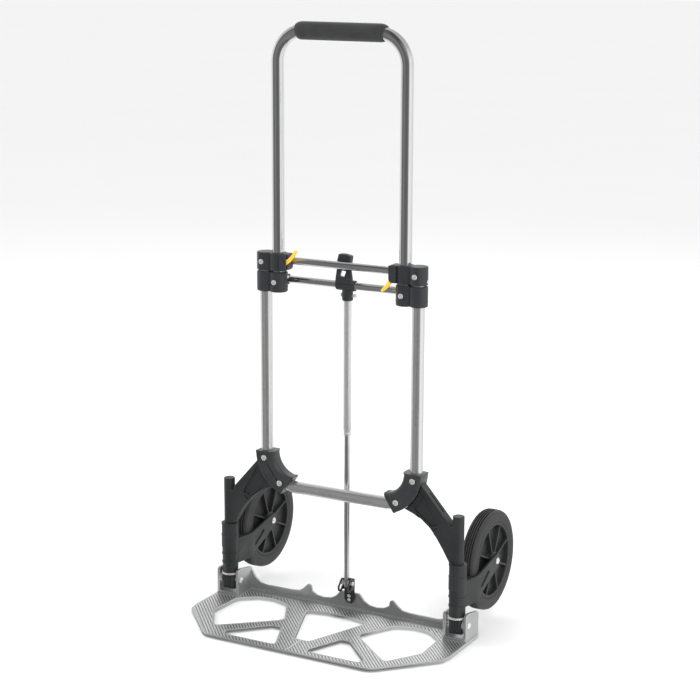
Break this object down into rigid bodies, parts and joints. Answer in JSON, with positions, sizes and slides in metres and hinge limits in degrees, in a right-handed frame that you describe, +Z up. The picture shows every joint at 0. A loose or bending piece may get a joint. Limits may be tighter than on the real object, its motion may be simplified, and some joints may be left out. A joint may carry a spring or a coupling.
{
  "type": "hand truck",
  "caption": "Folding hand truck with a sliding padded handle, a fold-up windowed toe plate and two solid wheels that swing in as the plate folds.",
  "frame": {"origin": "on the floor, under the middle of the tube frame and below the toe plate's hinge line", "axes": "+X to the side, -Y towards the front edge of the open toe plate, +Z up"},
  "size_m": [0.5042, 0.398, 1.0322],
  "materials": {
    "chrome_tube": "mirror chrome plate with fine lengthwise drawing marks",
    "frame_steel": "bright satin plated tube",
    "centre_steel": "satin plated tube",
    "nickel_hardware": "bright nickel plate",
    "black_plastic": "fine moulded texture",
    "yellow_plastic": "satin moulded",
    "grip_foam": "soft closed-cell foam",
    "toe_aluminium": "satin silver-grey with a ribbed top",
    "black_steel": "black paint",
    "tyre_rubber": "matt solid rubber"
  },
  "bodies": {
    "frame": {"frame_tube": "frame_steel", "upper_block_left": "black_plastic", "upper_block_right": "black_plastic", "upper_crossbar": "chrome_tube", "corner_bracket_left": "black_plastic", "corner_bracket_right": "black_plastic", "side_arm_left": "black_plastic", "side_arm_right": "black_plastic", "hinge_bolt_left": "nickel_hardware", "hinge_bolt_right": "nickel_hardware", "upper_block_screw_left": "nickel_hardware", "upper_block_screw_right": "nickel_hardware", "bracket_screw_upper_left": "nickel_hardware", "bracket_screw_upper_right": "nickel_hardware", "bracket_screw_lower_left": "nickel_hardware", "bracket_screw_lower_right": "nickel_hardware"},
    "handle": {"handle_tube": "chrome_tube", "grip": "grip_foam", "lower_block_left": "black_plastic", "lower_block_right": "black_plastic", "lower_block_screw_left": "nickel_hardware", "lower_block_screw_right": "nickel_hardware", "lower_crossbar": "chrome_tube", "centre_hub": "black_plastic", "hub_bolt": "nickel_hardware", "centre_tube": "centre_steel"},
    "latch": {"latch": "black_plastic"},
    "lever_left": {"lever_left": "yellow_plastic"},
    "lever_right": {"lever_right": "yellow_plastic"},
    "centre_rod": {"centre_rod": "chrome_tube", "rod_pin": "nickel_hardware"},
    "toe": {"toe_plate": "toe_aluminium", "toe_bracket": "black_steel", "fence_screw_lower": "nickel_hardware", "fence_screw_upper": "nickel_hardware"},
    "wheel_bracket_left": {"wheel_bracket_left": "black_plastic", "crown_gear_left": "nickel_hardware", "axle_bolt_left": "nickel_hardware"},
    "wheel_bracket_right": {"wheel_bracket_right": "black_plastic", "crown_gear_right": "nickel_hardware", "axle_bolt_right": "nickel_hardware"},
    "wheel_left": {"wheel_rim_left": "black_plastic", "tyre_left": "tyre_rubber"},
    "wheel_right": {"wheel_rim_right": "black_plastic", "tyre_right": "tyre_rubber"}
  },
  "joints": [
    {"name": "handle_slide", "type": "slide", "parent": "frame", "child": "handle", "axis": [0, 0, -1], "range_m": [0, 0.188]},
    {"name": "toe_fold", "type": "hinge", "parent": "frame", "child": "toe", "pos_m": [0, 0, 0.033], "axis": [-1, 0, 0], "range_deg": [0, 90]},
    {"name": "wheel_swing_left", "type": "hinge", "parent": "frame", "child": "wheel_bracket_left", "pos_m": [-0.227, 0, 0.033], "axis": [0, 0, -1], "range_deg": [0, 90.5]},
    {"name": "wheel_swing_right", "type": "hinge", "parent": "frame", "child": "wheel_bracket_right", "pos_m": [0.227, 0, 0.033], "axis": [0, 0, 1], "range_deg": [0, 90.5]},
    {"name": "rod_slide", "type": "slide", "parent": "frame", "child": "centre_rod", "axis": [0, 0, -1], "range_m": [0, 0.0485]},
    {"name": "wheel_spin_left", "type": "hinge", "parent": "wheel_bracket_left", "child": "wheel_left", "pos_m": [-0.227, 0.118, 0.112], "axis": [1, 0, 0], "continuous": true},
    {"name": "wheel_spin_right", "type": "hinge", "parent": "wheel_bracket_right", "child": "wheel_right", "pos_m": [0.227, 0.118, 0.112], "axis": [1, 0, 0], "continuous": true},
    {"name": "latch_tilt", "type": "hinge", "parent": "handle", "child": "latch", "pos_m": [0, 0.02, 0.592], "axis": [-1, 0, 0], "range_deg": [0, 20], "stiffness_Nm_per_rad": 0.15, "springref_deg": -8.59},
    {"name": "lever_swing_left", "type": "hinge", "parent": "frame", "child": "lever_left", "pos_m": [-0.1045, -0.0121, 0.624], "axis": [0, 1, 0], "range_deg": [0, 110]},
    {"name": "lever_swing_right", "type": "hinge", "parent": "frame", "child": "lever_right", "pos_m": [0.1045, -0.0121, 0.624], "axis": [0, 1, 0], "range_deg": [0, 110]}
  ],
  "couplings": [
    {"joint": "wheel_swing_left", "follows": "toe_fold", "ratio": 1},
    {"joint": "wheel_swing_right", "follows": "toe_fold", "ratio": 1},
    {"joint": "rod_slide", "follows": "toe_fold", "m_per_rad": 0.030558}
  ]
}
